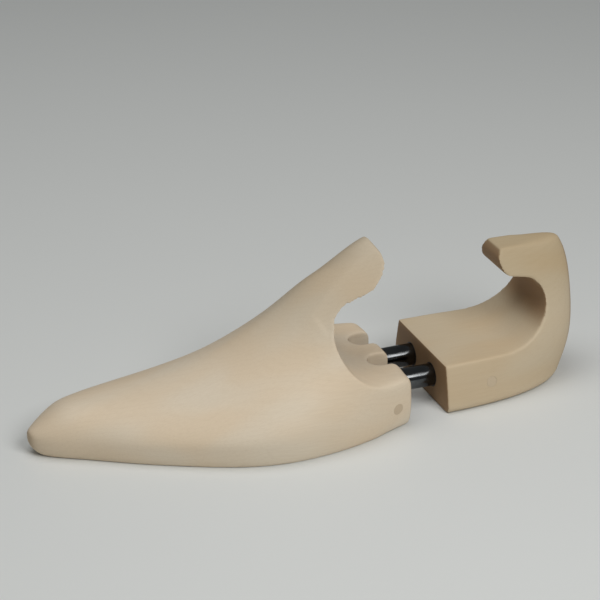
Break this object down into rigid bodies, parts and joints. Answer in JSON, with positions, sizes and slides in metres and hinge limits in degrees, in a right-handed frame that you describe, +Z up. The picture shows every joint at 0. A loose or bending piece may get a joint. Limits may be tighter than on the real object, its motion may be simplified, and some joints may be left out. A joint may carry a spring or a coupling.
{
  "type": "shoe tree",
  "caption": "Carved wooden shoe tree: a forepart with a raised instep tongue, joined by sprung steel tubes to a hook-shaped heel block that slides and swings up.",
  "frame": {"origin": "on the sole plane, at half the tree's length, in the plane midway between the two tubes", "axes": "+X from the toe to the heel along the tubes, +Z up away from the sole, -Y the tree's left (outer) side"},
  "size_m": [0.2969, 0.0952, 0.0929],
  "materials": {
    "block_wood": "unfinished fine-grained hardwood, sanded, satin",
    "plug_wood": "unfinished hardwood dowel, end grain out, sanded flush",
    "tube_steel": "dark polished nickel-black plated steel",
    "pin_steel": "turned bright steel",
    "spring_steel": "drawn spring wire",
    "black_plastic": "moulded nylon, matt"
  },
  "bodies": {
    "forepart": {"forepart_block": "block_wood", "hinge_pin": "pin_steel", "hinge_pin_plug_left": "plug_wood", "hinge_pin_plug_right": "plug_wood"},
    "tubes": {"tube_left": "tube_steel", "tube_right": "tube_steel", "pivot_plug_left": "pin_steel", "pivot_plug_right": "pin_steel", "tube_end_cap_left": "black_plastic", "tube_end_cap_right": "black_plastic", "spring_left": "spring_steel", "spring_right": "spring_steel"},
    "heel": {"heel_block": "block_wood", "stop_pin": "pin_steel", "stop_pin_plug_left": "plug_wood", "stop_pin_plug_right": "plug_wood", "guide_sleeve_left": "black_plastic", "guide_sleeve_right": "black_plastic", "spring_slider_left": "pin_steel", "spring_slider_right": "pin_steel"}
  },
  "joints": [
    {"name": "tube_swing", "type": "hinge", "parent": "forepart", "child": "tubes", "pos_m": [0.033, 0, 0.0133], "axis": [0, -1, 0], "range_deg": [0, 60]},
    {"name": "heel_slide", "type": "slide", "parent": "tubes", "child": "heel", "axis": [1, 0, 0], "range_m": [-0.009, 0], "stiffness_N_per_m": 2400, "springref_m": 0.008, "deforming": ["spring_left", "spring_right"]}
  ]
}
